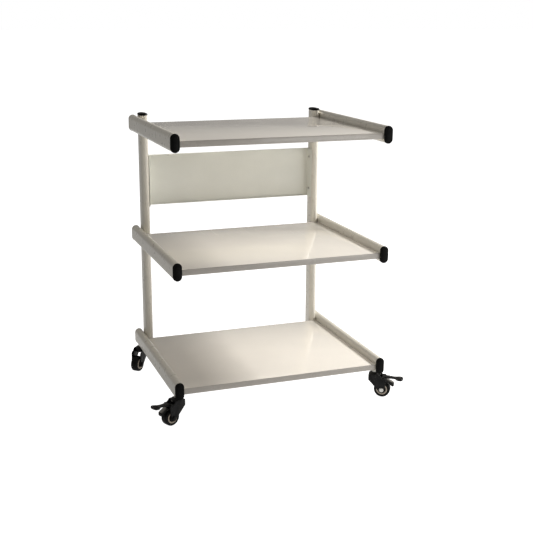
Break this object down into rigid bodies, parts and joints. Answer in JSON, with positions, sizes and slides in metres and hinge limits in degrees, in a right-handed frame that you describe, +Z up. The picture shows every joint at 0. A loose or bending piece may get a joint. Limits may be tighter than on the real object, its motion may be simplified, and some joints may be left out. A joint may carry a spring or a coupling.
{
  "type": "rolling salon trolley",
  "caption": "Rolling salon trolley: open flat-oval tube frame with full-width shelves between side arms, a folded back panel, and small swivel casters with foot brakes at the front.",
  "frame": {"origin": "on the floor, under the middle of the whole trolley; the frame's plane of symmetry is X = 0", "axes": "+Z up, +Y to the rear where the uprights stand, +X to the right of somebody standing in front"},
  "size_m": [0.7844, 0.5477, 0.84],
  "materials": {
    "frame_paint": "satin powder coat, off-white",
    "panel_paint": "satin powder coat, pale grey-cream",
    "shelf_laminate": "particle board faced in glossy off-white laminate",
    "black_caps": "moulded black plastic, fine grain",
    "light_caps": "moulded light plastic",
    "bright_steel": "zinc-plated steel",
    "caster_black": "black satin",
    "tyre_black": "black, dull",
    "wheel_core": "beige moulded plastic"
  },
  "bodies": {
    "frame": {"arm_bottom_left": "frame_paint", "front_cap_bottom_left": "black_caps", "rear_cap_bottom_left": "light_caps", "arm_bottom_right": "frame_paint", "front_cap_bottom_right": "black_caps", "rear_cap_bottom_right": "light_caps", "arm_middle_left": "frame_paint", "front_cap_middle_left": "black_caps", "rear_cap_middle_left": "light_caps", "arm_middle_right": "frame_paint", "front_cap_middle_right": "black_caps", "rear_cap_middle_right": "light_caps", "arm_top_left": "frame_paint", "front_cap_top_left": "black_caps", "rear_cap_top_left": "light_caps", "arm_top_right": "frame_paint", "front_cap_top_right": "black_caps", "rear_cap_top_right": "light_caps", "upright_left": "frame_paint", "upright_cap_left": "black_caps", "foot_plug_left": "black_caps", "upright_right": "frame_paint", "upright_cap_right": "black_caps", "foot_plug_right": "black_caps", "shelf_bottom": "shelf_laminate", "shelf_middle": "shelf_laminate", "shelf_top": "shelf_laminate", "back_panel": "panel_paint", "panel_screw_left_lower": "bright_steel", "panel_screw_left_upper": "bright_steel", "panel_screw_right_lower": "bright_steel", "panel_screw_right_upper": "bright_steel", "stem_front_left": "bright_steel", "stem_front_right": "bright_steel", "stem_rear_left": "bright_steel", "stem_rear_right": "bright_steel"},
    "swivel_front_left": {"fork_front_left": "caster_black", "axle_front_left": "bright_steel", "pedal_pin_front_left": "bright_steel", "brake_plate_front_left": "caster_black"},
    "wheel_front_left": {"tyre_front_left": "tyre_black", "hub_front_left": "wheel_core"},
    "pedal_front_left": {"pedal_front_left": "caster_black"},
    "swivel_front_right": {"fork_front_right": "caster_black", "axle_front_right": "bright_steel", "pedal_pin_front_right": "bright_steel", "brake_plate_front_right": "caster_black"},
    "wheel_front_right": {"tyre_front_right": "tyre_black", "hub_front_right": "wheel_core"},
    "pedal_front_right": {"pedal_front_right": "caster_black"},
    "swivel_rear_left": {"fork_rear_left": "caster_black", "axle_rear_left": "bright_steel"},
    "wheel_rear_left": {"tyre_rear_left": "tyre_black", "hub_rear_left": "wheel_core"},
    "swivel_rear_right": {"fork_rear_right": "caster_black", "axle_rear_right": "bright_steel"},
    "wheel_rear_right": {"tyre_rear_right": "tyre_black", "hub_rear_right": "wheel_core"}
  },
  "joints": [
    {"name": "swivel_front_left", "type": "hinge", "parent": "frame", "child": "swivel_front_left", "pos_m": [-0.313, -0.214, 0.07], "axis": [0, 0, 1], "continuous": true},
    {"name": "roll_front_left", "type": "hinge", "parent": "swivel_front_left", "child": "wheel_front_left", "pos_m": [-0.33584, -0.22417, 0.025], "axis": [0.4067, -0.9135, 0], "continuous": true},
    {"name": "brake_front_left", "type": "hinge", "parent": "swivel_front_left", "child": "pedal_front_left", "pos_m": [-0.33812, -0.22518, 0.061], "axis": [0.4067, -0.9135, 0], "range_deg": [0, 20]},
    {"name": "swivel_front_right", "type": "hinge", "parent": "frame", "child": "swivel_front_right", "pos_m": [0.313, -0.214, 0.07], "axis": [0, 0, 1], "continuous": true},
    {"name": "roll_front_right", "type": "hinge", "parent": "swivel_front_right", "child": "wheel_front_right", "pos_m": [0.33335, -0.22852, 0.025], "axis": [0.5807, 0.8141, 0], "continuous": true},
    {"name": "brake_front_right", "type": "hinge", "parent": "swivel_front_right", "child": "pedal_front_right", "pos_m": [0.33539, -0.22997, 0.061], "axis": [0.5807, 0.8141, 0], "range_deg": [0, 12.5]},
    {"name": "swivel_rear_left", "type": "hinge", "parent": "frame", "child": "swivel_rear_left", "pos_m": [-0.313, 0.2495, 0.07], "axis": [0, 0, 1], "continuous": true},
    {"name": "roll_rear_left", "type": "hinge", "parent": "swivel_rear_left", "child": "wheel_rear_left", "pos_m": [-0.32973, 0.23092, 0.025], "axis": [0.7431, -0.6691, 0], "continuous": true},
    {"name": "swivel_rear_right", "type": "hinge", "parent": "frame", "child": "swivel_rear_right", "pos_m": [0.313, 0.2495, 0.07], "axis": [0, 0, 1], "continuous": true},
    {"name": "roll_rear_right", "type": "hinge", "parent": "swivel_rear_right", "child": "wheel_rear_right", "pos_m": [0.32973, 0.23092, 0.025], "axis": [0.7431, 0.6691, 0], "continuous": true}
  ]
}
